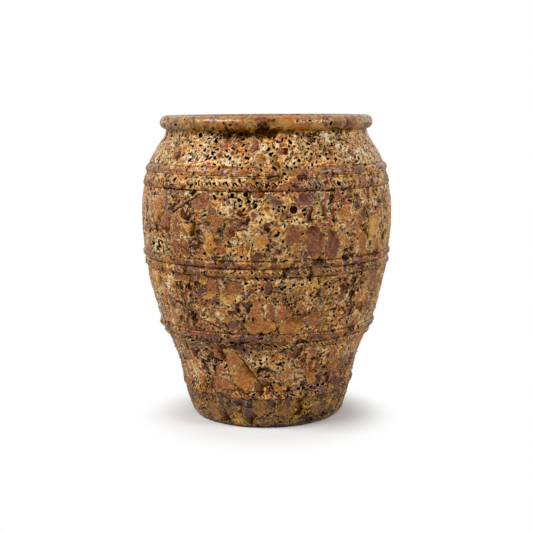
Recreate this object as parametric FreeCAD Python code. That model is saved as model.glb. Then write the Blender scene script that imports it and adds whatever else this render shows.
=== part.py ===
import FreeCAD, Part
import math
import os

os.makedirs("parts", exist_ok=True)

# A large glazed storage jar, built up by hand from rings of clay.
# Millimetres, +Z up, origin on the ground at the middle of the foot.

# Heights of the clay rings, from the ground up
slab_height = 26.0
foot_height = 81.0
lower_height = 166.0
belly_height = 209.0
girdle_height = 128.0
hip_height = 135.0
shoulder_height = 83.0
neck_height = 23.0
rim_height = 49.0

# Outside radius of the jar at its widest girth, and how far the wall draws in from there at each
# joint between two rings
widest_radius = 375.0
slab_draw = 143.0
foot_joint_draw = 119.0
lower_joint_draw = 63.5
belly_joint_draw = 12.0
shoulder_joint_draw = 19.5
neck_joint_draw = 66.0
lip_joint_draw = 76.0

# How far the middle of each ring stands outside the straight line between its joints
foot_bow = 1.5
lower_bow = -8.0
belly_bow = 6.5
girdle_bow = 2.5
hip_bow = 3.5
shoulder_bow = 3.0
neck_bow = -2.5

# Wall of the jar, measured level, and the film of slip that beds an applied coil
wall = 20.0
slip = 0.5

# The drain hole through the floor slab
drain_radius = 20.0

# Rolled lip: how far it overhangs the neck, and the radius of its roll
lip_overhang = 18.0
lip_roll_radius = 21.0

# The applied bands hide the joints. How far each coil's middle lies above the joint that its
# band hides, or below it
shoulder_plain_rise = 6.0
shoulder_tooled_rise = -29.0
belly_plain_rise = 16.5
belly_tooled_rise = -7.5
lower_plain_rise = 11.0
lower_tooled_rise = -13.0
foot_tooled_rise = -2.0

# Sizes of the applied coils: height on the wall and how far they stand out
shoulder_plain_height = 24.0
shoulder_plain_proud = 4.5
shoulder_tooled_height = 36.0
shoulder_tooled_proud = 6.5
belly_plain_height = 20.0
belly_plain_proud = 7.0
belly_tooled_height = 24.0
belly_tooled_proud = 7.5
lower_plain_height = 26.0
lower_plain_proud = 8.0
lower_tooled_height = 16.0
lower_tooled_proud = 5.5
foot_tooled_height = 26.0
foot_tooled_proud = 4.0

# An applied coil is pressed down to a blunt edge this thick
coil_edge = 2.0

# Nicks pressed into the upper flank of the tooled coils with the edge of a stick
nick_pitch = 22.0
nick_width = 9.0
nick_depth = 3.0
nick_lean = 32.0

# How much of a tooled coil's height its steep lower flank takes, and its flat crest
low_flank_share = 0.22
crest_share = 0.3

# Overrun of every cutting tool
overrun = 5.0

axis_point = FreeCAD.Vector(0, 0, 0)
axis = FreeCAD.Vector(0, 0, 1)
full_turn = 360.0


def point(radius, level):
    """A point of an outline in the XZ plane."""
    return FreeCAD.Vector(radius, 0, level)


def line(start, end):
    return Part.LineSegment(start, end).toShape()


def arc(start, middle, end):
    return Part.Arc(start, middle, end).toShape()


def turned(edges):
    """The solid that a closed outline sweeps round the jar's axis."""
    return Part.Face(Part.Wire(edges)).revolve(axis_point, axis, full_turn)


class Ring:
    """One ring of the wall between two flat joints, bowed by one arc."""

    def __init__(self, bottom, height, bottom_radius, top_radius, bow):
        self.bottom = bottom
        self.top = bottom + height
        self.bottom_radius = bottom_radius
        self.top_radius = top_radius
        self.middle = bottom + height / 2
        self.middle_radius = (bottom_radius + top_radius) / 2 + bow

    def face_arc(self, outward):
        """The arc that lies outward of the wall's outer face by the given amount."""
        return arc(
            point(self.bottom_radius + outward, self.bottom),
            point(self.middle_radius + outward, self.middle),
            point(self.top_radius + outward, self.top),
        )

    def solid(self):
        outside = self.face_arc(0)
        inside = self.face_arc(-wall)
        foot_joint = line(
            point(self.bottom_radius - wall, self.bottom), point(self.bottom_radius, self.bottom)
        )
        head_joint = line(point(self.top_radius, self.top), point(self.top_radius - wall, self.top))
        return turned([foot_joint, outside, head_joint, inside])

    def radius_at(self, level):
        """Outside radius of the wall at a level, read off the ring's arc."""
        curve = self.face_arc(0).Curve
        centre = curve.Center
        side = math.copysign(1, self.middle_radius - centre.x)
        return centre.x + side * math.sqrt(curve.Radius ** 2 - (level - centre.z) ** 2)


slab_radius = widest_radius - slab_draw
foot_joint_radius = widest_radius - foot_joint_draw
lower_joint_radius = widest_radius - lower_joint_draw
belly_joint_radius = widest_radius - belly_joint_draw
shoulder_joint_radius = widest_radius - shoulder_joint_draw
neck_joint_radius = widest_radius - neck_joint_draw
lip_joint_radius = widest_radius - lip_joint_draw

foot = Ring(slab_height, foot_height, slab_radius, foot_joint_radius, foot_bow)
lower = Ring(foot.top, lower_height, foot_joint_radius, lower_joint_radius, lower_bow)
belly = Ring(lower.top, belly_height, lower_joint_radius, belly_joint_radius, belly_bow)
girdle = Ring(belly.top, girdle_height, belly_joint_radius, widest_radius, girdle_bow)
hip = Ring(girdle.top, hip_height, widest_radius, shoulder_joint_radius, hip_bow)
shoulder = Ring(hip.top, shoulder_height, shoulder_joint_radius, neck_joint_radius, shoulder_bow)
neck = Ring(shoulder.top, neck_height, neck_joint_radius, lip_joint_radius, neck_bow)
rings = [foot, lower, belly, girdle, hip, shoulder, neck]


def wall_radius(level):
    """Outside radius of the whole wall at a level."""
    for ring in rings:
        if level <= ring.top:
            break
    return ring.radius_at(level)


def floor_slab():
    """Round floor with a drain hole. Its edge is one quarter round, as thick as the slab."""
    contact_radius = slab_radius - slab_height
    halfway = slab_height * math.sin(math.pi / 4)
    edge = arc(
        point(contact_radius, 0),
        point(contact_radius + halfway, slab_height - halfway),
        point(slab_radius, slab_height),
    )
    return turned(
        [
            line(point(drain_radius, 0), point(contact_radius, 0)),
            edge,
            line(point(slab_radius, slab_height), point(drain_radius, slab_height)),
            line(point(drain_radius, slab_height), point(drain_radius, 0)),
        ]
    )


def rolled_lip():
    """The rim, folded outwards into a round roll that overhangs a tight neck groove."""
    bottom = neck.top
    top = bottom + rim_height
    lip_radius = lip_joint_radius + lip_overhang
    roll_centre = lip_radius - lip_roll_radius
    roll_level = top - lip_roll_radius
    inset = lip_joint_radius - roll_centre
    groove_level = roll_level - math.sqrt(lip_roll_radius ** 2 - inset ** 2)
    roll = arc(
        point(lip_joint_radius, groove_level),
        point(lip_radius, roll_level),
        point(roll_centre, top),
    )
    inner_radius = lip_joint_radius - wall
    mouth_radius = roll_centre - lip_roll_radius
    slope = math.atan2(top - roll_level, roll_centre - mouth_radius)
    fold = arc(
        point(roll_centre, top),
        point(
            roll_centre - lip_roll_radius * math.cos(slope),
            roll_level + lip_roll_radius * math.sin(slope),
        ),
        point(mouth_radius, roll_level),
    )
    return turned(
        [
            line(point(inner_radius, bottom), point(lip_joint_radius, bottom)),
            line(point(lip_joint_radius, bottom), point(lip_joint_radius, groove_level)),
            roll,
            fold,
            line(point(mouth_radius, roll_level), point(inner_radius, bottom)),
        ]
    )


def wall_point(level, outward):
    """A point of an outline that lies outward of the wall's face by the given amount."""
    return point(wall_radius(level) + outward, level)


def chain(points):
    """Straight edges from each point to the next."""
    return [line(start, end) for start, end in zip(points, points[1:])]


def pressed_on(low, high, crest):
    """A coil round the wall: its bed of slip, a blunt edge above and below, and its crest."""
    levels = [low] + [ring.top for ring in rings if low < ring.top < high] + [high]
    bed = chain([wall_point(level, slip) for level in levels])
    low_side = line(wall_point(low, slip), wall_point(low, coil_edge))
    high_side = line(wall_point(high, coil_edge), wall_point(high, slip))
    return turned(bed + [high_side] + crest + [low_side])


def plain_coil(level, height, proud):
    """A roll of clay smoothed onto the wall, its crest one arc."""
    low, high = level - height / 2, level + height / 2
    crest = arc(wall_point(high, coil_edge), wall_point(level, proud), wall_point(low, coil_edge))
    return pressed_on(low, high, [crest])


def tooled_coil(level, height, proud):
    """A coil tapped flat on its low crest, with slanting nicks all round its long upper flank."""
    low, high = level - height / 2, level + height / 2
    crest_radius = wall_radius(level) + proud
    crest_low = point(crest_radius, low + height * low_flank_share)
    crest_high = point(crest_radius, crest_low.z + height * crest_share)
    low_edge, high_edge = wall_point(low, coil_edge), wall_point(high, coil_edge)
    band = pressed_on(low, high, chain([high_edge, crest_high, crest_low, low_edge]))

    flank = high_edge - crest_high
    flank_lean = math.degrees(math.atan2(-flank.x, flank.z))
    wedge_length = flank.Length + nick_width
    half_mouth = nick_width / 2 * (1 + overrun / nick_depth)
    mouth = [
        FreeCAD.Vector(-nick_depth, 0, -wedge_length / 2),
        FreeCAD.Vector(overrun, half_mouth, -wedge_length / 2),
        FreeCAD.Vector(overrun, -half_mouth, -wedge_length / 2),
    ]
    wedge = Part.Face(Part.makePolygon(mouth + mouth[:1]))
    wedge = wedge.extrude(FreeCAD.Vector(0, 0, wedge_length))
    wedge.rotate(axis_point, FreeCAD.Vector(1, 0, 0), nick_lean)
    wedge.rotate(axis_point, FreeCAD.Vector(0, -1, 0), flank_lean)
    wedge.translate((crest_high + high_edge) / 2)

    count = round(2 * math.pi * crest_radius / nick_pitch)
    nicks = []
    for place in range(count):
        nick = wedge.copy()
        nick.rotate(axis_point, axis, full_turn * place / count)
        nicks.append(nick)
    return band.cut(nicks)


pieces = {
    "floor_slab": floor_slab(),
    "foot_ring": foot.solid(),
    "lower_ring": lower.solid(),
    "belly_ring": belly.solid(),
    "girdle_ring": girdle.solid(),
    "hip_ring": hip.solid(),
    "shoulder_ring": shoulder.solid(),
    "neck_ring": neck.solid(),
    "rolled_lip": rolled_lip(),
    "shoulder_plain_coil": plain_coil(
        hip.top + shoulder_plain_rise, shoulder_plain_height, shoulder_plain_proud
    ),
    "shoulder_tooled_coil": tooled_coil(
        hip.top + shoulder_tooled_rise, shoulder_tooled_height, shoulder_tooled_proud
    ),
    "belly_plain_coil": plain_coil(
        belly.top + belly_plain_rise, belly_plain_height, belly_plain_proud
    ),
    "belly_tooled_coil": tooled_coil(
        belly.top + belly_tooled_rise, belly_tooled_height, belly_tooled_proud
    ),
    "lower_plain_coil": plain_coil(
        lower.top + lower_plain_rise, lower_plain_height, lower_plain_proud
    ),
    "lower_tooled_coil": tooled_coil(
        lower.top + lower_tooled_rise, lower_tooled_height, lower_tooled_proud
    ),
    "foot_tooled_coil": tooled_coil(
        foot.top + foot_tooled_rise, foot_tooled_height, foot_tooled_proud
    ),
}

for name, shape in pieces.items():
    solid = shape.Solids[0]
    print(name, "valid", solid.isValid(), "solids", len(shape.Solids), "volume", solid.Volume)
    solid.exportStep("parts/" + name + ".step")
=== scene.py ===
import math
import bpy
import numpy as np
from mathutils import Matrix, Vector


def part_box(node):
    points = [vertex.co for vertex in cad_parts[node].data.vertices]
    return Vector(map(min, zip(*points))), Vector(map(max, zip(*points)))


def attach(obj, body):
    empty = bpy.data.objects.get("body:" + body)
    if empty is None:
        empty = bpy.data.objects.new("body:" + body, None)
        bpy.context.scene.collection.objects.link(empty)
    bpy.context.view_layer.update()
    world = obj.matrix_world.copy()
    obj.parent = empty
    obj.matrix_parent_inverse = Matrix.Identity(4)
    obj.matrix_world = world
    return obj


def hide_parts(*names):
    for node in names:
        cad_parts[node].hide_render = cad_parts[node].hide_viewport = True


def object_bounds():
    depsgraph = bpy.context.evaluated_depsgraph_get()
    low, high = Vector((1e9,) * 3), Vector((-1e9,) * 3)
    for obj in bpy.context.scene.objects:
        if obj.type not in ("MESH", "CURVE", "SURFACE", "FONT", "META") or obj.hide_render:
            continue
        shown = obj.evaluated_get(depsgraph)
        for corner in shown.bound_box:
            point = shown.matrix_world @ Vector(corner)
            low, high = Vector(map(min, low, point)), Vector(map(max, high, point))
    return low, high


# A tall pithos for the garden: stoneware, built up from rings of clay, bound with applied coils,
# and fired with a thick glaze that boiled into craters. Metres, +Z up, seen from -Y.

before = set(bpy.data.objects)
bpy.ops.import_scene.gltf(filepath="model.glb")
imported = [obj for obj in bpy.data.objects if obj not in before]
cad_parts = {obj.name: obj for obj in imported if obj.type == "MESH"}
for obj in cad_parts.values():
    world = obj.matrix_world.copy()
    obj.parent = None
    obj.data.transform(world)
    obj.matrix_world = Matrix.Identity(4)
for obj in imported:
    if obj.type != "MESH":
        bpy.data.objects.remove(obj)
cad_low, cad_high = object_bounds()


# The floor slab. A round slab of grogged stoneware, beaten out flat, with a hole cut through its
# middle and its outer edge rubbed round. The glaze of the wall runs down over that edge. The
# underside is left bare, because it stands on the kiln shelf.

mm = 0.001

# The columns of points round the jar, counted from the front to the right
columns = 1080
turn = np.arange(columns) * (2 * np.pi / columns)
around = np.stack([np.sin(turn), -np.cos(turn)], -1)

# The widest radius and the full height in mm, and how far the glaze keeps inside them
widest_radius, full_height = cad_high.x / mm, cad_high.z / mm
side_room, top_room = 0.4, 0.2

# Large odd numbers that stir a cell's address, and the shifts that fold its high bits back
axis_factors = np.array([374761393, 668265263, 2246822519], np.uint32)
seed_factor, seed_offset = 40503, 7919
stirs = [(15, 2654435761), (13, 3266489917)]
last_shift = 16
octave_shift = 17.3


def scattered(cell, seed):
    """Repeatable random numbers from 0 to 1, one for each whole-number cell address: the three
    numbers are multiplied by large odd numbers, added, and their high bits folded back twice."""
    mixed = cell.astype(np.int64).astype(np.uint32) * axis_factors
    mixed = mixed.sum(-1, dtype=np.uint32) + np.uint32(seed * seed_factor + seed_offset)
    for shift, factor in stirs:
        mixed = (mixed ^ (mixed >> np.uint32(shift))) * np.uint32(factor)
    return (mixed ^ (mixed >> np.uint32(last_shift))).astype(np.float32) / np.float32(2 ** 32)


def mottle(spots, size, seed, octaves=2):
    """Soft noise from 0 to 1: random numbers on a lattice of the given size in mm, blended across
    each cell by a smooth step, plus the same again at half the size and half the strength, on a
    lattice that is shifted."""
    total, weight, strength = 0.0, 0.0, 1.0
    for octave in range(octaves):
        place = spots / (size / 2 ** octave) + octave_shift * octave
        cell = np.floor(place)
        part = place - cell
        part = part * part * (3 - 2 * part)
        level = 0.0
        for corner in np.ndindex(2, 2, 2):
            share = np.where(corner, part, 1 - part).prod(-1)
            level = level + share * scattered(cell + corner, seed + octave)
        total = total + strength * level
        weight += strength
        strength /= 2
    return total / weight


def soft_step(low, high, value):
    """0 below low, 1 above high, and a smooth S between them."""
    part = np.clip((value - low) / (high - low), 0, 1)
    return part * part * (3 - 2 * part)


def bell(middle, width, value):
    """1 at the middle, falling away on both sides: e to minus the square of the distance in widths."""
    return np.exp(-((value - middle) / width) ** 2)


def jittered(cell, seed, margin):
    """A seed's place in its cell, at random, and no nearer to the cell's sides than the margin."""
    jitter = np.stack([scattered(cell, seed + axis) for axis in range(3)], -1)
    return cell + margin + (1 - 2 * margin) * jitter


def nearest_seeds(spots, size, seed):
    """A jittered lattice of the given size in mm: the distance to its nearest seed and to the
    second nearest, the nearest one's place, and two random numbers that belong to it."""
    home = np.floor(spots / size)
    first = np.full(spots.shape[:-1], np.inf, np.float32)
    second = first.copy()
    middle = np.zeros_like(spots)
    for step in np.ndindex(3, 3, 3):
        place = jittered(home + step - 1, seed, 0.1) * size
        gap = np.sqrt(((spots - place) ** 2).sum(-1))
        nearer = gap < first
        second = np.where(nearer, first, np.minimum(second, gap))
        first = np.where(nearer, gap, first)
        middle = np.where(nearer[..., None], place, middle)
    own = np.floor(middle / size)
    return first, second, middle, scattered(own, seed + 5), scattered(own, seed + 6)


# An edge farther off than this, in mm, counts as none
far_off = 9.0


def blob(spots, size, seed, share, small, large):
    """Distance in mm to the edge of the nearest round spot, negative inside it and far_off at most.
    Spots sit on a jittered lattice; a share of its cells hold one, most of them nearer the small
    radius."""
    home = np.floor(spots / size - 0.5)
    edge = np.full(spots.shape[:-1], far_off, np.float32)
    for step in np.ndindex(2, 2, 2):
        cell = home + step
        place = jittered(cell, seed, 0.15) * size
        radius = small + (large - small) * scattered(cell, seed + 3) ** 2
        gap = np.sqrt(((spots - place) ** 2).sum(-1)) - radius
        edge = np.where(scattered(cell, seed + 4) < share, np.minimum(edge, gap), edge)
    return edge


# The features of the glaze that stand out in the photograph, listed one by one: degrees round from
# the front to the right, level in mm, half width and half height in mm, lean in degrees, and for a
# plate of skin its dye from 0 dark to 1 light. They go from the top down, zone by zone.
LANDMARKS = {
    "crater": [
        (11.4, 649, 11.5, 11.5, 0), (7.6, 656, 4.5, 5, 0), (5.2, 657, 4.5, 4.5, 0), (2.9, 652, 4, 4.5, 0)],
    "pit": [
        (-37.5, 846, 8, 7, 0), (-14.6, 687, 6, 7, 0), (-11.5, 676, 6, 5.5, 0), (-8.8, 691, 7, 7, 0),
        (-7.4, 672, 6, 5, 0), (-11, 660, 6, 4, 20), (-62, 538, 4.5, 13, 0), (-56, 538, 5, 14, 0),
        (-52.5, 520, 4.5, 12, 0), (20, 123, 6, 5, 0), (23.5, 123, 6, 5, 0), (29, 124, 6.5, 5, 0),
        (34, 125, 6, 5.5, 0), (38.5, 126, 6, 5.5, 0)],
    "patch": [
        (-36, 640, 20, 30, 30), (-12, 618, 26, 34, 35), (-12.5, 360, 36, 32, 0), (13, 362, 13, 10, 0),
        (-46, 222, 24, 30, 0), (18.7, 166, 19, 36, 10), (-17, 78, 42, 20, 0)],
    "plate": [
        (25.5, 681, 9, 14, 0, 0.32), (31.5, 687, 10, 12, 0, 0.36), (37.8, 688, 10, 14, 0, 0.25),
        (15.4, 674, 20, 18, 0, 0.3), (24.7, 649, 9, 11, 0, 0.4), (20.3, 560, 22, 46, 0, 0.42),
        (29, 548, 19, 44, 0, 0.34), (25, 617, 20, 7, 0, 0.4), (34.5, 626, 18, 11, 0, 0.8),
        (36.5, 596, 12, 11, 0, 0.75), (44, 600, 11, 36, 0, 0.7), (11.5, 583, 24, 26, 10, 0.45),
        (-22, 612, 15, 20, 0, 0.6), (-29, 668, 26, 22, 15, 0.5), (-49.5, 655, 9, 22, 0, 0.4),
        (-20, 545, 13, 20, 0, 0.55), (-4, 520, 12, 18, -15, 0.1), (16, 507, 10, 22, -20, 0.15),
        (-5.2, 374, 10, 36, 5, 0.75), (-3, 322, 40, 20, 0, 0.8), (11.5, 324, 29, 26, 0, 0.75),
        (22, 338, 16, 28, 10, 0.6), (-42, 446, 29, 16, 0, 0.55), (-25, 438, 15, 16, 0, 0.6),
        (-15.5, 433, 26, 22, 0, 0.65), (-31, 424, 15, 11, 35, 0.0), (58, 441, 22, 23, 0, 0.5),
        (36, 400, 12, 26, 0, 0.3), (-13, 163, 34, 38, -40, 0.8), (-33, 130, 19, 19, 0, 0.6),
        (27.5, 160, 13, 24, 15, 0.7), (24.6, 229, 17, 16, 0, 0.6), (40.5, 215, 12, 26, 10, 0.65),
        (6.6, 131, 20, 11, 0, 0.85), (-40, 40, 18, 22, 0, 0.8), (12.7, 52, 26, 15, 0, 0.75),
        (-24, 54, 22, 9, 35, 0.6)],
}

# Three long creases: degrees round and level in mm of one end, then of the other
CREASES = [(-45.5, 635, -29.2, 693), (-56.3, 404, -15.9, 295), (-17.4, 240, -2.9, 139)]
crease_radius = 350

# Levels in mm between which the glaze changes: the ground, the bands, the girth and the neck
ground, foot_band, lower_band, belly_band, girth_level, top_band, neck_level = 0, 110, 270, 480, 610, 745, 850

# The glaze crept while it was soft: the size of the pushes in mm, and how far they go
drift_size, drift_reach = 44, 30
shiver_size, shiver_reach = 12, 13

# In mm: the lattices that plates, bubbles and craters sit on, the distances that stand for no skin
# and no bubble near, the room that a landmark keeps free, the depths of pits and craters, how far
# the outline of a plate or patch strays, and how far the clay is drawn in round the full girth
plate_cell, small_plate_cell, bubble_cell, crater_cell = 36, 18, 12.0, 36
no_skin = -6
no_bubble = 3
landmark_room = 3
pit_depth = 7
bowl_depth = 4.8
raggedness = 24
girth_zone = 20
least_draw, most_draw = 0.6, 2.2


def crater_glaze(spots, calm):
    """The glaze over bare clay points in mm: its relief in mm, and the marks its material reads.
    The relief is the sum of soft lumps, a web of ridges between bubbles, burst bubbles, wide
    craters, plates of skin with raised edges, and folds where it wrinkled. calm, 0 to 1, thins it."""
    level = spots[..., 2]
    drift = np.stack([mottle(spots, drift_size, 90 + axis) for axis in range(3)], -1) - 0.5
    shiver = np.stack([mottle(spots, shiver_size, 94 + axis) for axis in range(3)], -1) - 0.5
    moved = spots + drift_reach * drift + shiver_reach * shiver

    # Where the glaze is thick, most of all high up, it boils; lower down its skin breaks into plates
    wide = mottle(spots, 150, 11) - 0.5
    boil = np.interp(level, [ground, foot_band, lower_band, belly_band, girth_level, top_band, neck_level],
                     [0.28, 0.38, 0.48, 0.62, 0.74, 0.76, 0.8])
    boil = np.clip((boil + 1.1 * wide) * (1 - 0.8 * calm), 0, 1)
    skin = np.interp(level, [ground, lower_band, belly_band, girth_level, top_band, neck_level],
                     [0.62, 0.6, 0.58, 0.5, 0.14, 0.1])
    skin = (skin + 0.8 * (mottle(spots, 130, 21) - 0.5)) * (1 - calm)
    lumps = 4.2 * (mottle(moved, 42, 31) - 0.5) + 3.2 * (mottle(moved, 17, 35) - 0.5)

    # Plates of two sizes, taller than wide, and the wrinkled patches, none above the top band
    squashed = moved * (1, 1, 0.64)
    first, second, middle, chance, hue = nearest_seeds(squashed, plate_cell, 51)
    plate = np.minimum(12 + 20 * hue - first, (second - first) / 2 - 1.3)
    plate = np.where(chance < skin, plate, no_skin)
    small_first, small_second, _, small_chance, small_hue = nearest_seeds(squashed, small_plate_cell, 61)
    small = np.minimum(6 + 8 * small_hue - small_first, (small_second - small_first) / 2 - 1.2)
    small = np.where((small_chance < skin * 0.5) & (plate < -1.8), small, no_skin)
    lean = np.stack([chance, hue, 1 - chance], -1) - 0.5
    tilt = ((squashed - middle) * lean).sum(-1) * 0.3
    skin_edge, skin_dye = np.maximum(plate, small), np.where(plate > -2, hue, small_hue)
    wrinkled = soft_step(0.57, 0.63, mottle(moved, 80, 41))
    wrinkled = wrinkled * np.interp(level, [top_band - 55, top_band - 5], [1, 0]) * (1 - calm)

    # The landmarks push the random features aside: ellipses, the plates squarer, and plates and
    # patches with a ragged outline
    turned = np.arctan2(spots[..., 0], -spots[..., 1])
    reach = np.hypot(spots[..., 0], spots[..., 1])
    landed = {kind: far_off + 0 * level for kind in LANDMARKS}
    lifted = 0 * level
    for kind, features in LANDMARKS.items():
        power = 3.5 if kind == "plate" else 2
        ragged = raggedness if kind in ("plate", "patch") else 0
        for azimuth, height, half_wide, half_high, slant, *dye in features:
            across = (turned - math.radians(azimuth)) * reach
            across = across + ragged * drift[..., 0] + ragged * shiver[..., 0]
            up = level - height + ragged * drift[..., 2] + ragged * shiver[..., 2]
            cosine, sine = math.cos(math.radians(slant)), math.sin(math.radians(slant))
            away = (np.abs((across * cosine + up * sine) / half_wide) ** power
                    + np.abs((up * cosine - across * sine) / half_high) ** power) ** (1 / power)
            edge = np.minimum((away - 1) * min(half_wide, half_high), far_off)
            landed[kind] = np.minimum(landed[kind], edge)
            if kind == "plate":
                skin_dye = np.where(edge < 2, dye[0], skin_dye)
                lifted = np.where(edge < 2, -0.06 * up, lifted)
    claimed = np.minimum.reduce(list(landed.values()))
    taken = claimed < landmark_room
    skin_edge = np.maximum(np.where(taken, no_skin, skin_edge), -landed["plate"])
    inside = np.where(taken, soft_step(2, -2.5, landed["plate"]), soft_step(0, 2.5, plate))
    tilt = np.where(taken, lifted, tilt)
    wrinkled = np.maximum(np.where(taken, 0, wrinkled), soft_step(2, -2, landed["patch"])) * (1 - inside)

    # Folds run through the wrinkled glaze and faintly elsewhere; a plate is tilted and rippled, has a
    # raised edge, and lies in a groove
    fold = np.clip(1 - 8 * np.abs(mottle(moved * (1, 1, 1.6), 18, 45) - 0.5), 0, 1)
    folds = (0.45 + 0.4 * wrinkled) * (1 - 0.85 * inside) * (3.8 * fold - 1.6)
    ripple = mottle(moved * (2.2, 2.2, 0.7), 9, 65) - 0.5
    plates = inside * (tilt + 0.4 + 2.0 * ripple)
    plates = plates - soft_step(0, 2.0, np.where(inside > 0.5, no_skin, skin_edge))
    plates = plates + 2.3 * bell(-0.2, 1.2, skin_edge) - 2.0 * bell(-3.0, 1.1, skin_edge)

    # The web of bubbles, most of them burst where no skin lies, smaller pricks in the skin, and the
    # wide craters
    open_glaze = soft_step(-0.8, -2.0, skin_edge) * (1 - 0.8 * wrinkled)
    near, far, _, pop, bubble_dye = nearest_seeds(moved * (1, 1, 0.86), bubble_cell, 71)
    border = (far - near) / 2
    bursts = pop < boil + 0.15 * (1 - calm)
    pricks = pop < (0.5 * boil + 0.1) * (1 - calm)
    burst = near - np.where(bursts, 2.4 + 2.8 * bubble_dye ** 1.4, -no_bubble)
    pricked = near - np.where(pricks, 1.5 + 1.7 * bubble_dye, -no_bubble)
    burst = np.where(open_glaze > 0.5, burst, pricked)
    burst = np.where(claimed > landmark_room / 2, burst, no_bubble + 1)
    burst = np.minimum(burst, landed["pit"])
    web = open_glaze * (1.5 * bell(0, 1.5, border) - soft_step(1, 4.5, border))
    share = boil * 0.55 * (skin_edge < -3) * (claimed > landmark_room)
    crater = np.minimum(blob(moved, crater_cell, 81, share, 4.2, 8.5), landed["crater"])
    pits = 0.9 * bell(0.9, 1.0, burst) - pit_depth * soft_step(0.4, -1.6, burst)
    bowls = 1.4 * bell(0.9, 1.4, crater) - bowl_depth * soft_step(0.5, -2.4, crater)

    # Long creases, where a sheet of glaze slid over the next: a lifted edge with a groove below, darkened
    # further by painted shade
    crease = 0 * level
    for azimuth, height, last_azimuth, last_height in CREASES:
        run = np.array([math.radians(last_azimuth - azimuth) * crease_radius, last_height - height])
        length = math.hypot(*run)
        run = run / length
        across = (turned - math.radians(azimuth)) * crease_radius + 5 * drift[..., 1]
        up = level - height + 5 * drift[..., 0]
        along = across * run[0] + up * run[1]
        side = up * run[0] - across * run[1]
        held = soft_step(-4, 8, along) * soft_step(length + 4, length - 8, along)
        crease = crease + held * (2.4 * bell(1, 1.7, side) - 3.2 * bell(-3, 1.7, side))

    # Painted shadow under the lip: the colour is darkened in a band below it, most of all at the front
    painted_lip_shadow = (0.15 + 0.7 * bell(0.05, 0.45, turned)) * bell(neck_level, 13, level)

    rough = lumps + folds + plates + crease + (web + pits) * soft_step(-0.5, 1, crater) + bowls
    marks = {
        "border": np.clip(border, 0, 6),
        "pit": np.clip(burst, -4, 4),
        "bubble_dye": bubble_dye,
        "crater": np.clip(crater, -4, 4),
        "skin": np.clip(skin_edge, -5, 6),
        "skin_dye": skin_dye,
        "wrinkled": wrinkled,
        "thickness": np.clip((lumps + 1.6 * folds + plates) / 8.5 + 0.5, 0, 1),
        # depth: the relief, the creases counted once more, less the painted lip shadow; the material darkens
        # low places by it as painted shade
        "depth": np.clip((rough + crease) / 4.5 - painted_lip_shadow, -1, 1),
        "warmth": mottle(moved, 75, 15, 3),
        "boil": boil,
        "calm": calm + 0 * level,
    }

    # The wider the jar, the more the clay is drawn in, so that the glaze stays inside its full girth
    drawn_in = np.interp(reach, [widest_radius - girth_zone, widest_radius], [least_draw, most_draw])
    return rough * (1 - 0.75 * calm) - drawn_in, marks


# The map of a shell: the most strips that its girth is folded into, the empty margin round a strip,
# and the scale of the inner side, which is bare and needs less of the map
most_strips = 30
strip_margin, row_margin = 0.01, 0.02
inner_scale = 0.4


def turned_shell(name, rows, hard_rows, inner_from, materials, marks):
    """A closed skin from rows of points in metres, each row one round of the jar: the grid closes
    both round the jar and from its last row back to its first. hard_rows are its crisp arrises, and
    faces from row inner_from on take the second material. Its map folds the girth into strips."""
    count = len(rows)
    row, column = np.meshgrid(np.arange(count), np.arange(columns), indexing="ij")
    up, along = (row + 1) % count, (column + 1) % columns
    faces = np.stack([row * columns + column, row * columns + along,
                      up * columns + along, up * columns + column], -1)
    mesh = bpy.data.meshes.new(name)
    mesh.vertices.add(count * columns)
    mesh.vertices.foreach_set("co", rows.astype(np.float32).ravel())
    mesh.loops.add(faces.size)
    mesh.loops.foreach_set("vertex_index", faces.ravel().astype(np.int32))
    mesh.polygons.add(count * columns)
    mesh.polygons.foreach_set("loop_start", np.arange(0, faces.size, 4, dtype=np.int32))
    mesh.polygons.foreach_set("material_index", (row.ravel() >= inner_from).astype(np.int32))
    mesh.update(calc_edges=True)
    mesh.polygons.foreach_set("use_smooth", np.ones(count * columns, bool))
    ends = np.empty(len(mesh.edges) * 2, np.int32)
    mesh.edges.foreach_get("vertices", ends)
    ends = ends.reshape(-1, 2) // columns
    sharp = mesh.attributes.new("sharp_edge", "BOOLEAN", "EDGE")
    sharp.data.foreach_set("value", (ends[:, 0] == ends[:, 1]) & np.isin(ends[:, 0], hard_rows))
    for material in materials:
        mesh.materials.append(material)
    for mark, values in marks.items():
        padded = np.zeros((count, columns), np.float32)
        padded[: len(values)] = values
        mesh.attributes.new(mark, "FLOAT", "POINT").data.foreach_set("value", padded.ravel())

    step = np.linalg.norm(np.roll(rows, -1, 0) - rows, axis=-1).mean(1)
    step = step * np.where(np.arange(count) >= inner_from, inner_scale, 1)
    height = np.concatenate([[0], np.cumsum(step)])
    girth = 2 * np.pi * np.hypot(rows[0, 0, 0], rows[0, 0, 1])
    even_splits = [n for n in range(1, most_strips + 1) if columns % n == 0]
    strips = min(even_splits, key=lambda n: abs(n - math.sqrt(girth / height[-1])))
    per_strip = columns // strips
    across = (column % per_strip)[..., None] + np.array([0, 1, 1, 0])
    rise = height[row[..., None] + np.array([0, 0, 1, 1])] / height[-1]
    across = strip_margin + (1 - 2 * strip_margin) * across / per_strip
    rise = ((column // per_strip)[..., None] + row_margin + (1 - 2 * row_margin) * rise) / strips
    strip_map = mesh.uv_layers.new(name="OFBake")
    strip_map.data.foreach_set("uv", np.stack([across, rise], -1).astype(np.float32).ravel())
    piece = bpy.data.objects.new(name, mesh)
    bpy.context.scene.collection.objects.link(piece)
    return piece


def ring_of(radius, level):
    """Points in metres of rows round the axis, from radii and levels in mm, one pair for each row
    and, if given, for each column."""
    radius = np.asarray(radius, float)
    level = np.asarray(level, float)
    radius = np.broadcast_to(radius.reshape(len(radius), -1), (len(radius), columns))
    level = np.broadcast_to(level.reshape(len(level), -1), radius.shape)
    return np.concatenate([around * radius[..., None], level[..., None]], -1) * mm


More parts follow.
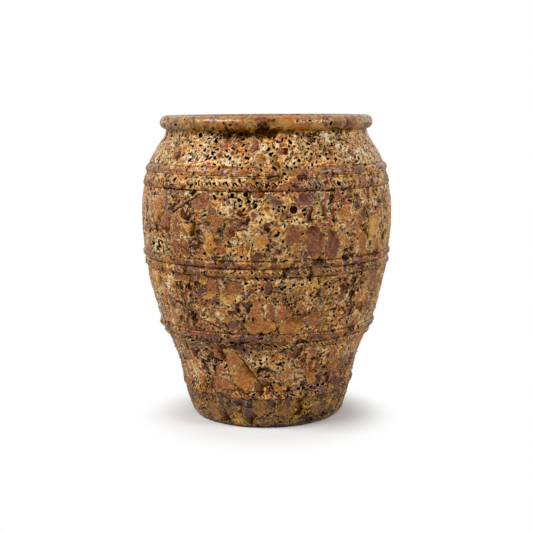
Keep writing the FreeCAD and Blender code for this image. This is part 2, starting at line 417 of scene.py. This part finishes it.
def linear(hex_colour):
    """An sRGB hex colour as the linear RGBA that a material takes."""
    parts = np.array([int(hex_colour[i:i + 2], 16) / 255 for i in (1, 3, 5)])
    parts = np.where(parts <= 0.04045, parts / 12.92, ((parts + 0.055) / 1.055) ** 2.4)
    return (*parts, 1.0)


def node(tree, kind, inputs=(), out=0, stops=(), **settings):
    """Adds one shader node and returns one of its outputs. inputs are its sockets, in order or by
    name, each a value or another node's output; stops are the places and hex colours of a ramp."""
    made = tree.nodes.new("ShaderNode" + kind)
    for key, value in settings.items():
        setattr(made, key, value)
    for key, value in inputs.items() if isinstance(inputs, dict) else enumerate(inputs):
        if isinstance(value, bpy.types.NodeSocket):
            tree.links.new(value, made.inputs[key])
        else:
            made.inputs[key].default_value = value
    if stops:
        ramp = made.color_ramp.elements
        while len(ramp) < len(stops):
            ramp.new(1.0)
        for stop, (place, colour) in zip(ramp, stops):
            stop.position = place
            stop.color = linear(colour)
    return made.outputs[out] if made.outputs else None


def empty_material(name):
    """A new material and its node tree, emptied."""
    material = bpy.data.materials.new(name)
    material.use_nodes = True
    material.node_tree.nodes.clear()
    return material, material.node_tree


def plus(tree, value, factor, base):
    """The value times the factor, plus the base."""
    return node(tree, "Math", [value, factor, base], operation="MULTIPLY_ADD")


def times(tree, value, other):
    """The product of the two."""
    return node(tree, "Math", [value, other], operation="MULTIPLY")


def ranged(tree, value, start, end, low, high):
    """low where the value is at start, high where it is at end, and a straight line between them."""
    return node(tree, "MapRange", [value, start, end, low, high])


def eased(tree, value, start, end, low=0.0, high=1.0):
    """The same as ranged, with a smooth S between the two."""
    return node(tree, "MapRange", [value, start, end, low, high], interpolation_type="SMOOTHSTEP")


def laid_on(tree, share, colour, top):
    """The top colour laid over the other by a share from 0 to 1."""
    return node(tree, "MixRGB", [share, colour, top])


def noise(tree, place, size, detail=3.0, roughness=0.6):
    """Soft noise from 0 to 1, its lumps about the given size in metres."""
    inputs = {"Vector": place, "Scale": 1 / size, "Detail": detail, "Roughness": roughness}
    return node(tree, "TexNoise", inputs)


def glaze_material(name, web, thin, plate, fold, rim, hole, bowl):
    """A boiled glaze in nodes. web, thin, plate and fold are ramps from its low places to its high ones; rim
    is the pale arris of plates and pits, hole the bottom of a pit and the dark of the painted shade in hollows
    and under the lip, bowl a crater's floor."""
    material, tree = empty_material(name)
    place = node(tree, "TexCoord", out="Object")
    mark = {key: node(tree, "Attribute", attribute_name=key, out="Fac")
            for key in ("border", "pit", "bubble_dye", "crater", "skin", "skin_dye", "wrinkled",
                        "thickness", "depth", "warmth", "boil", "calm")}
    grain = noise(tree, place, 3.5 * mm)
    cloud = noise(tree, place, 17 * mm, 5.0, 0.68)
    lively = ranged(tree, mark["calm"], 0.0, 1.0, 1.0, 0.4)
    grain_off = times(tree, node(tree, "Math", [grain, 0.5], operation="SUBTRACT"), lively)
    cloud_off = times(tree, node(tree, "Math", [cloud, 0.5], operation="SUBTRACT"), lively)

    # The web: pale on the ridges between bubbles, brown in the hollows
    line = plus(tree, grain_off, 3.0, mark["border"])
    line = eased(tree, line, 2.6, 0.0)
    walls = ranged(tree, mark["boil"], 0.25, 0.75, 0.5, 1.0)
    bubbly = plus(tree, mark["bubble_dye"], 0.5, line)
    bubbly = times(tree, bubbly, lively)
    bubbly = times(tree, bubbly, walls)
    thick = plus(tree, bubbly, 0.42, -0.48)
    thick = plus(tree, mark["boil"], 0.12, thick)
    thick = plus(tree, mark["thickness"], 0.92, thick)
    thick = plus(tree, mark["warmth"], 0.5, thick)
    thick = plus(tree, cloud_off, 1.15, thick)
    thick = plus(tree, grain_off, 1.5, thick)
    web_colour = node(tree, "ValToRGB", [thick], stops=web)
    thin_colour = node(tree, "ValToRGB", [thick], stops=thin)
    bared = plus(tree, cloud_off, 1.6, mark["calm"])
    bared = eased(tree, bared, 0.3, 0.55)
    colour = laid_on(tree, bared, web_colour, thin_colour)

    # The kiln's draught tints whole regions: dull where smoky, orange where the air was clear
    region = noise(tree, place, 55 * mm)
    tint = node(tree, "ValToRGB", [region],
                stops=[(0.34, "#b8a284"), (0.45, "#ffffff"), (0.54, "#ffe8cc"), (0.64, "#f0a468")])
    colour = node(tree, "MixRGB", [0.8, colour, tint], blend_type="MULTIPLY")

    # Wrinkled glaze, a brown of its own, and the plates of skin, each with its own dye
    shade = plus(tree, cloud_off, 0.9, mark["thickness"])
    shade = plus(tree, grain_off, 1.6, shade)
    fold_colour = node(tree, "ValToRGB", [shade], stops=fold)
    folded = plus(tree, cloud_off, 0.8, mark["wrinkled"])
    folded = eased(tree, folded, 0.4, 0.7, 0.0, 0.85)
    colour = laid_on(tree, folded, colour, fold_colour)
    dye = plus(tree, cloud_off, 1.3, mark["skin_dye"])
    dye = plus(tree, grain_off, 1.8, dye)
    dye = plus(tree, mark["skin"], -0.03, dye)
    streak = node(tree, "VectorMath", [place, (1.0, 1.0, 3.0)], operation="MULTIPLY")
    streak = noise(tree, streak, 12 * mm)
    dye = plus(tree, streak, 1.1, dye)
    dye = node(tree, "Math", [dye, 0.55], operation="SUBTRACT")
    plate_colour = node(tree, "ValToRGB", [dye], stops=plate)
    skin = plus(tree, grain_off, 3.2, mark["skin"])
    skin = plus(tree, cloud_off, 2.4, skin)
    on_skin = eased(tree, skin, 0.1, 1.6)
    colour = laid_on(tree, on_skin, colour, plate_colour)

    # The pale arris of a plate, broken off in places and faint where the glaze is thin
    outer = eased(tree, skin, -1.9, -0.5)
    arris = eased(tree, skin, 0.9, -0.2, 0.0, 0.9)
    arris = times(tree, outer, arris)
    kept = plus(tree, cloud_off, 2.2, mark["warmth"])
    kept = eased(tree, kept, 0.35, 0.65)
    rimmed = ranged(tree, mark["calm"], 0.3, 0.75, 1.0, 0.1)
    arris = times(tree, arris, kept)
    arris = times(tree, arris, rimmed)
    colour = laid_on(tree, arris, colour, rim)

    # Burst bubbles of three sizes: craters with brown floors, black pits, and pinholes
    crater = plus(tree, grain_off, 1.6, mark["crater"])
    lip = times(tree, eased(tree, crater, 2.4, 0.3, 0.0, 0.6), rimmed)
    colour = laid_on(tree, lip, colour, rim)
    floor = eased(tree, crater, 0.3, -0.9)
    colour = laid_on(tree, floor, colour, bowl)
    pit = plus(tree, grain_off, 1.4, mark["pit"])
    lip = times(tree, eased(tree, pit, 2.4, 0.6, 0.0, 0.75), rimmed)
    colour = laid_on(tree, lip, colour, rim)
    deep = eased(tree, pit, 0.5, -0.2)
    colour = laid_on(tree, deep, colour, hole)
    pinhole = node(tree, "TexVoronoi", {"Vector": place, "Scale": 1 / (6.5 * mm)})
    luck = node(tree, "SeparateColor", [pinhole.node.outputs["Color"]])
    pinhole = plus(tree, luck, -0.5, pinhole)
    pinhole = eased(tree, pinhole, 0.03, -0.04)
    room = plus(tree, cloud_off, 2.5, mark["warmth"])
    room = eased(tree, room, 0.22, 0.5)
    off_skin = ranged(tree, mark["skin"], 0.5, -1.0, 0.3, 1.0)
    room = times(tree, room, off_skin)
    room = times(tree, room, lively)
    pinhole = times(tree, pinhole, room)
    colour = laid_on(tree, pinhole, colour, hole)

    # Painted shade: the colour goes towards the dark of the holes where the relief lies low, in hollows,
    # cracks and creases and under the lip
    sunk = plus(tree, grain_off, 0.5, mark["depth"])
    sunk = ranged(tree, sunk, 0.02, -0.66, 0.0, 0.88)
    colour = laid_on(tree, sunk, colour, hole)
    colour = node(tree, "HueSaturation", {"Saturation": 1.25, "Value": 1.11, "Color": colour})

    # Glassy on the ridges, dull down in the holes and the folds
    recess = node(tree, "Math", [deep, sunk], operation="MAXIMUM")
    mirror = ranged(tree, recess, 0.0, 0.6, 0.4, 0.03)
    coat = ranged(tree, recess, 0.0, 0.4, 0.26, 0.0)
    dull = node(tree, "Math", [deep, pinhole], operation="MAXIMUM")
    dull = plus(tree, folded, 0.5, dull)
    roughness = plus(tree, dull, 0.35, 0.1)
    roughness = plus(tree, grain, 0.17, roughness)

    # The finest relief, below a millimetre, is a bump: sandy grain, streaks, pinholes and edges
    fine = plus(tree, grain, 1.8, 0.0)
    fine = plus(tree, pinhole, -2.2, fine)
    fine = plus(tree, streak, 0.8, fine)
    fine = plus(tree, cloud, 2.6, fine)
    fine = plus(tree, deep, -2.5, fine)
    fine = plus(tree, bubbly, 1.0, fine)
    ridge = times(tree, outer, eased(tree, skin, 1.3, -0.2))
    fine = plus(tree, ridge, 1.8, fine)
    keen = ranged(tree, mark["calm"], 0.25, 0.75, 1.0, 0.35)
    bump = node(tree, "Bump", {"Height": fine, "Strength": keen, "Distance": 1.1 * mm})
    glaze = node(tree, "BsdfPrincipled", {
        "Base Color": colour, "Roughness": roughness, "Normal": bump, "IOR": 1.5,
        "Specular IOR Level": mirror, "Coat Weight": coat, "Coat Roughness": 0.12})
    node(tree, "OutputMaterial", {"Surface": glaze})
    return material


# Reactive crater glaze: rich in iron, brushed thick over a slip that gives off gas, and fired to
# stoneware heat. It boils and freezes as it cools: honey where thick, rust where a skin closed over
# it, dull brown where it wrinkled, with black holes down to the slip.
honey_glaze = glaze_material(
    "reactive_crater_glaze",
    web=[(0.0, "#1e0d03"), (0.16, "#4a260c"), (0.32, "#74431a"), (0.46, "#94622f"), (0.6, "#ae824f"),
         (0.75, "#c6a170"), (0.88, "#d6bb98"), (1.0, "#e6d9c4")],
    thin=[(0.05, "#2a1206"), (0.3, "#66381a"), (0.5, "#8a5a38"), (0.7, "#a67750"), (0.95, "#caa47c")],
    plate=[(0.0, "#4a230f"), (0.22, "#70391b"), (0.45, "#8f5022"), (0.65, "#a4662e"), (0.85, "#b88247"),
           (1.0, "#cca26c")],
    fold=[(0.05, "#2c1608"), (0.3, "#5c3820"), (0.55, "#886246"), (0.85, "#bc9a7c")],
    rim=linear("#dcc49e"), hole=linear("#140903"), bowl=linear("#6b3314"))

# The same glaze over the foot, darker: partly its own colour, where it ran thin over a darker slip, and partly
# painted shade for the dimmer light low down. It stays chestnut to black.
foot_glaze = glaze_material(
    "dark_foot_glaze",
    web=[(0.0, "#180c04"), (0.25, "#422913"), (0.5, "#6b4722"), (0.75, "#9a733a"), (1.0, "#c8aa70")],
    thin=[(0.1, "#1e1007"), (0.4, "#4c2e19"), (0.7, "#774f2e"), (1.0, "#a68254")],
    plate=[(0.0, "#341c0e"), (0.35, "#603820"), (0.7, "#88582a"), (1.0, "#a4783e")],
    fold=[(0.2, "#1d130c"), (0.5, "#443022"), (0.8, "#6a5240"), (1.0, "#8d725c")],
    rim=linear("#bd9c60"), hole=linear("#0c0603"), bowl=linear("#3c2010"))

# Bare stoneware clay, iron brown and sandy with grog, as the fire leaves it where no glaze lies.
bare_clay, tree = empty_material("bare_iron_stoneware")
place = node(tree, "TexCoord", out="Object")
grog = noise(tree, place, 1.5 * mm, 3.0, 0.5)
patch = noise(tree, place, 60 * mm, 5.0, 0.5)
patch = plus(tree, grog, 0.35, patch)
colour = node(tree, "ValToRGB", [patch], stops=[(0.45, "#4a2f20"), (0.68, "#76503a"), (0.9, "#977052")])
bump = node(tree, "Bump", {"Height": grog, "Strength": 0.5, "Distance": 0.6 * mm})
clay = node(tree, "BsdfPrincipled", {"Base Color": colour, "Roughness": 0.8, "Normal": bump})
node(tree, "OutputMaterial", {"Surface": clay})

slab_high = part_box("floor_slab")[1]
slab_radius = slab_high.x / mm
slab_height = slab_high.z / mm
hole_radius = 20.0
hole_chamfer = 2.0
finger_pitch = 17.0
finger_depth = 1.3
finger_start = 24
scraped_off = 1.5
edge_rows, top_rows, under_rows = 18, 60, 12


def finger_ridges(distance):
    """Ridges in mm left by fingertips drawn through the clay: a rounded wave with narrow crests."""
    wave = 0.5 + 0.5 * np.cos(2 * np.pi * distance / finger_pitch)
    return finger_depth * (wave ** 1.8 - 0.4)


def pushed(radius, level, out_radius, out_level, calm):
    """Rows of an outline in mm, pushed out by the glaze's relief along each point's own normal."""
    spots = ring_of(radius, level) / mm
    calm = np.broadcast_to(np.asarray(calm, float).reshape(-1, 1), spots.shape[:2])
    relief, marks = crater_glaze(spots, calm)
    radius = np.minimum(radius[:, None] + relief * out_radius[:, None], widest_radius - side_room)
    level = np.minimum(level[:, None] + relief * out_level[:, None], full_height - top_room)
    return ring_of(radius, level), marks


# The rounded edge, a quarter circle as high as the slab is thick, then the scraped top under the
# wall, the chamfered hole and the underside
quarter = np.linspace(0, np.pi / 2, edge_rows)
edge_radius = slab_radius - slab_height + slab_height * np.sin(quarter)
edge_level = slab_height - slab_height * np.cos(quarter)
edge, marks = pushed(edge_radius, edge_level, np.sin(quarter) ** 0.5, 0 * quarter, 0.5 * np.cos(quarter))
top_radius = np.linspace(slab_radius - 4, hole_radius + hole_chamfer, top_rows)
top_ridges = np.where(top_radius < slab_radius - finger_start, finger_ridges(top_radius), 0)
under_radius = np.linspace(hole_radius + hole_chamfer, slab_radius - slab_height - 3, under_rows)
inner = ring_of(np.concatenate([top_radius, [hole_radius, hole_radius], under_radius]),
                np.concatenate([slab_height - scraped_off + top_ridges,
                                [slab_height - hole_chamfer, hole_chamfer], 0 * under_radius]))
top_end = edge_rows + top_rows
slab = turned_shell("glazed_floor_slab", np.concatenate([edge, inner]),
                    [edge_rows - 1, top_end, top_end + 2, top_end + 3], edge_rows - 1,
                    [foot_glaze, bare_clay], marks)
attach(slab, "root")
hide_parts("floor_slab")


# The wall. Seven thick rings of the same clay, luted one on another with slip, beaten thin and
# scraped, and left ridged by the fingers inside. Outside they carry the crater glaze.

WALL_NODES = ["foot_ring", "lower_ring", "belly_ring", "girdle_ring", "hip_ring", "shoulder_ring", "neck_ring"]
wall = 20.0
row_pitch = 2.3
most_rows = 82
inside_rows = 9
bed_depth = 3.5
bed_edge = 3


def ring_sizes(node_name):
    """Low and high level, outside radius at both and bow between them, in mm, read off a ring's own
    points: the bow is how far its outer face stands out from the straight line, at mid height."""
    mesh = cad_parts[node_name].data
    spots = np.empty(len(mesh.vertices) * 3, np.float32)
    mesh.vertices.foreach_get("co", spots)
    spots = spots.reshape(-1, 3) / mm
    radius, level = np.hypot(spots[:, 0], spots[:, 1]), spots[:, 2]
    low, high = level.min(), level.max()
    low_radius = radius[level < low + 0.1].max()
    high_radius = radius[level > high - 0.1].max()
    part = (level - low) / (high - low)
    off = radius - low_radius - (high_radius - low_radius) * part
    face = (off > -wall / 2) & (part > 0.15) & (part < 0.85)
    bow = (off[face] / (4 * part[face] * (1 - part[face]))).mean() if face.any() else 0.0
    return low, high, low_radius, high_radius, bow


sizes = {name: ring_sizes(name) for name in WALL_NODES}


def outline(level):
    """Outside radius of the bare wall at levels in mm: straight from joint to joint, plus each
    ring's bow as a parabola."""
    level = np.asarray(level, float)
    radius = np.zeros_like(level)
    for low, high, low_radius, high_radius, bow in sizes.values():
        part = (level - low) / (high - low)
        here = (part >= -1e-6) & (part <= 1 + 1e-6)
        bowed = low_radius + (high_radius - low_radius) * part + 4 * bow * part * (1 - part)
        radius = np.where(here, bowed, radius)
    return radius


COILS = ["shoulder_plain_coil", "shoulder_tooled_coil", "belly_plain_coil", "belly_tooled_coil",
         "lower_plain_coil", "lower_tooled_coil", "foot_tooled_coil"]
coil_spans = [(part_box(name)[0].z / mm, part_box(name)[1].z / mm) for name in COILS]

# Where a coil lies over a joint the wall keeps back a little under it, and its glaze is calmer
for name in WALL_NODES:
    low, high, low_radius, high_radius, bow = sizes[name]
    count = min(int(np.hypot(high - low, high_radius - low_radius) / row_pitch) + 1, most_rows)
    level = np.linspace(low, high, count)
    covered = sum(soft_step(coil_low - bed_edge, coil_low + bed_edge, level)
                  * soft_step(coil_high + bed_edge, coil_high - bed_edge, level)
                  for coil_low, coil_high in coil_spans)
    outside, marks = pushed(outline(level), level, 1 - 0 * level, 0 * level, 0.4 * covered)
    outside[:, :, :2] *= 1 - (bed_depth * covered / outline(level))[:, None, None]
    back = np.linspace(high, low, inside_rows)
    ridges = np.where((back < high) & (back > low), finger_ridges(back), 0)
    inside = ring_of(outline(back) - wall + ridges, back)
    glaze = foot_glaze if name == "foot_ring" else honey_glaze
    piece = turned_shell("glazed_" + name, np.concatenate([outside, inside]),
                         [0, count - 1, count, count + inside_rows - 1], count - 1,
                         [glaze, bare_clay], marks)
    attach(piece, "root")
    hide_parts(name)


# The lip. The top of the wall folded outwards and rolled round with a wet cloth, then glazed
# amber: the glaze runs off its crest, so it stays thin, smooth and shiny, with few pinholes.

amber_glaze = glaze_material(
    "amber_lip_glaze",
    web=[(0.0, "#33200e"), (0.3, "#694822"), (0.5, "#896538"), (0.7, "#a68758"), (1.0, "#c8ac80")],
    thin=[(0.0, "#4a2f18"), (0.16, "#7c5a38"), (0.32, "#967652"), (0.46, "#a68a66"), (0.58, "#a57448"),
          (0.82, "#c0a276")],
    plate=[(0.0, "#5c3319"), (0.5, "#8f5526"), (1.0, "#a87434")],
    fold=[(0.2, "#3a281a"), (0.6, "#6e5238"), (1.0, "#94785a")],
    rim=linear("#c2a468"), hole=linear("#1a0f07"), bowl=linear("#5a3619"))
lip_low, lip_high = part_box("rolled_lip")
lip_bottom = lip_low.z / mm
lip_top = lip_high.z / mm
lip_radius = lip_high.x / mm
roll = 21.0
roll_centre = lip_radius - roll
roll_level = lip_top - roll
neck_radius = sizes["neck_ring"][3]
roll_rows = 44

# The groove between neck and roll is three rows high, and its glaze calms down towards the roll
groove_calm = [0, 0.5, 0.8]
start = -math.acos((neck_radius - roll_centre) / roll)
sweep = np.linspace(start, np.pi, roll_rows)
groove = np.linspace(lip_bottom, roll_level + roll * math.sin(start), len(groove_calm) + 1)[:-1]
rows, marks = pushed(np.concatenate([neck_radius + 0 * groove, roll_centre + roll * np.cos(sweep)]),
                     np.concatenate([groove, roll_level + roll * np.sin(sweep)]),
                     np.concatenate([1 + 0 * groove, np.cos(sweep)]),
                     np.concatenate([0 * groove, np.sin(sweep)]),
                     np.concatenate([groove_calm, 1 + 0 * sweep]))
down = np.linspace(roll_level, lip_bottom, inside_rows)[1:]
throat = ring_of(np.interp(down, [lip_bottom, roll_level], [neck_radius - wall, roll_centre - roll]), down)
lip = turned_shell("glazed_rolled_lip", np.concatenate([rows, throat]), [0, len(rows) + len(down) - 1],
                   len(rows), [amber_glaze, bare_clay], marks)
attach(lip, "root")
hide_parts("rolled_lip")


# The applied bands. Rolls of soft clay, pressed on over the joints. The plain ones are smoothed
# with a wet finger, the others tapped flat and nicked along the upper side with a stick's edge.

thin_glaze = glaze_material(
    "thin_brown_coil_glaze",
    web=[(0.0, "#1a0b02"), (0.26, "#4e280d"), (0.44, "#7a4a1e"), (0.6, "#9c6836"), (0.74, "#b48856"),
         (0.88, "#cca678"), (1.0, "#e0c298")],
    thin=[(0.0, "#241005"), (0.22, "#582d12"), (0.42, "#7a4724"), (0.6, "#935d34"), (0.8, "#b07d4c"),
          (1.0, "#cfa876")],
    plate=[(0.0, "#4a230f"), (0.5, "#844a22"), (1.0, "#ab7038")],
    fold=[(0.2, "#24150c"), (0.6, "#694c3a"), (1.0, "#a5846e")],
    rim=linear("#d8ba8c"), hole=linear("#140903"), bowl=linear("#4f2812"))
coil_rows = 17
coil_room = 0.6
sunk_in, pressed_deep = 1.2, 9
back_inset = 2
sway_reach = 4
unevenness = 0.9
nick_pitch = 14.0
nick_width = 0.34
nick_depth = 3.2
nick_lean = 1.5

for name in COILS:
    box_low, box_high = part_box(name)
    low, high, crest = box_low.z / mm, box_high.z / mm, box_high.x / mm
    tooled = "tooled" in name

    # The section of the coil: a round swell, or one tapped flat above that stands out most low down
    part = np.linspace(0, 1, coil_rows)[:, None]
    if tooled:
        bulge = soft_step(-0.04, 0.2, part) * soft_step(1.12, 0.42, part)
        middle, crown_part, crown_calm = low + (high - low) * 0.37, 0.3, 0.5
    else:
        bulge = np.sin(np.pi * np.clip(part * 0.96 + 0.02, 0, 1)) ** 0.7
        middle, crown_part, crown_calm = low + (high - low) * 0.5, 0.5, 0.68
    proud = crest - outline(middle)

    # Laid by hand, it sways up and down and swells here and there, and its rubbed crown is calm
    circle = ring_of([crest], [middle])[0] / mm
    sway = sway_reach * (mottle(circle, 130, 101) - 0.5)
    level = low + (high - low) * part + sway
    swell = 1.0 + unevenness * (mottle(circle, 60, 105) - 0.5) + unevenness * (mottle(circle, 19, 107) - 0.5)
    spots = ring_of(outline(level), level) / mm
    rubbed = 0.35 + 0.65 * soft_step(0.36, 0.54, mottle(spots, 50, 121))
    calm = 0.08 + crown_calm * bell(crown_part, 0.3, part) * rubbed
    relief, marks = crater_glaze(spots, calm + 0 * level)
    radius = outline(level) - sunk_in + (proud + 0.2) * bulge * swell + relief * (0.3 + 0.7 * bulge)

    # Nicks at an even pitch that drifts a little, slanting, and worn away in places
    if tooled:
        along = turn * crest / nick_pitch + nick_lean * part
        along = along + 2.4 * mottle(circle, 50, 111)
        place = np.abs(along - np.floor(along) - 0.5)
        strength = soft_step(0.3, 0.42, part) * soft_step(0.78, 0.62, part)
        strength = strength * soft_step(0.4, 0.55, mottle(circle, 70, 115) + 0.1 * np.cos(turn - 0.8))
        nick = bell(0, nick_width / 2, place) * strength
        radius = radius - nick_depth * nick
        marks["pit"] = np.minimum(marks["pit"], np.clip(2.6 - 5.4 * nick, -3, 4))
        # Painted highlight: the nicked strip is laid paler, standing in for the gloss between the nicks
        marks["thickness"] = marks["thickness"] + 0.22 * strength

    # Painted shade in the creases below and above the coil: the depth mark is lowered there, so the material
    # darkens them
    crease = bell(0, 0.1, part) + 0.6 * bell(1, 0.07, part)
    marks["depth"] = marks["depth"] - 1.12 * crease * mottle(circle, 40, 125)
    front = ring_of(np.minimum(radius, widest_radius - coil_room), level)
    back_levels = [high - back_inset, low + back_inset]
    back = ring_of(outline(back_levels) - pressed_deep, back_levels)
    piece = turned_shell("glazed_" + name, np.concatenate([front, back]), [], coil_rows - 1,
                         [thin_glaze, bare_clay], marks)
    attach(piece, "root")
    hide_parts(name)


# The stage: a plain white studio floor and wall, two soft lamps from above at the left and the
# right of the camera, and the camera where the photograph was taken from.

photo_pixels = 533
focal_pixels = 1096.5
camera_distance = 3.3034
camera_height = 0.9345
camera_aside = 0.0015
camera_pitch = math.radians(8.489)
camera_roll = math.radians(0.3)
floor_left, floor_right, floor_front, floor_back = -9, 9, -6, 14
shadow_centre = (0.0, -0.07, 0.0)
shadow_end, white_start = 0.22, 0.4
room_light, backdrop_light = 0.3, 1.0

# White paper on the floor: matt round the foot, where it takes the jar's shadow, and farther off as
# white as the backdrop, so that no edge shows
floor_mesh = bpy.data.meshes.new("studio_floor")
floor_mesh.from_pydata([(floor_left, floor_front, 0), (floor_right, floor_front, 0),
                        (floor_right, floor_back, 0), (floor_left, floor_back, 0)], [], [(0, 1, 2, 3)])
floor = bpy.data.objects.new("studio_floor", floor_mesh)
bpy.context.scene.collection.objects.link(floor)
paper, tree = empty_material("white_paper")
camera_ray = node(tree, "LightPath", out="Is Camera Ray")
place = node(tree, "TexCoord", out="Object")
off_jar = node(tree, "VectorMath", [place, shadow_centre], operation="DISTANCE", out="Value")
white = times(tree, eased(tree, off_jar, shadow_end, white_start), camera_ray)
matt = node(tree, "BsdfDiffuse", {"Color": linear("#f4f4f4")})
glow = node(tree, "Emission", {"Color": linear("#ffffff"), "Strength": backdrop_light})
node(tree, "OutputMaterial", {"Surface": node(tree, "MixShader", [white, matt, glow])})
floor_mesh.materials.append(paper)

# The world: white to the camera, through glass and in gloss, and a dim even light for all else
world = bpy.data.worlds.new("white_studio")
bpy.context.scene.world = world
world.use_nodes = True
tree = world.node_tree
tree.nodes.clear()
shown = node(tree, "LightPath", out="Is Camera Ray")
through, mirrored = (shown.node.outputs[ray] for ray in ("Is Transmission Ray", "Is Glossy Ray"))
shown = node(tree, "Math", [shown, through], operation="MAXIMUM")
shown = node(tree, "Math", [shown, mirrored], operation="MAXIMUM")
dim = node(tree, "Background", {"Color": linear("#ffffff"), "Strength": room_light})
bright = node(tree, "Background", {"Color": linear("#ffffff"), "Strength": backdrop_light})
node(tree, "OutputWorld", {"Surface": node(tree, "MixShader", [shown, dim, bright])})

# Soft lamps: name, place in metres, width and height in metres, and power in watts
LAMPS = [
    ("left_softbox", (-2.1, -1.35, 2.9), (2.2, 0.5), 88),
    ("right_softbox", (2.1, -1.5, 2.2), (1.1, 0.5), 38),
]
aim_level = 0.5
for name, spot, size, power in LAMPS:
    lamp = bpy.data.lights.new(name, "AREA")
    lamp.shape = "RECTANGLE"
    lamp.size, lamp.size_y = size
    lamp.energy = power
    stand = bpy.data.objects.new(name, lamp)
    stand.location = spot
    tilt = math.atan2(math.hypot(spot[0], spot[1]), spot[2] - aim_level)
    stand.rotation_euler = (tilt, 0, math.atan2(-spot[1], -spot[0]) - math.pi / 2)
    bpy.context.scene.collection.objects.link(stand)

camera = bpy.data.cameras.new("photograph")
camera.sensor_width = 36
camera.lens = focal_pixels / photo_pixels * camera.sensor_width
eye = bpy.data.objects.new("photograph", camera)
eye.location = (camera_aside, -camera_distance, camera_height)
eye.rotation_euler = (math.pi / 2 - camera_pitch, camera_roll, 0)
bpy.context.scene.collection.objects.link(eye)
bpy.context.scene.camera = eye
bpy.context.scene.view_settings.view_transform = "Standard"
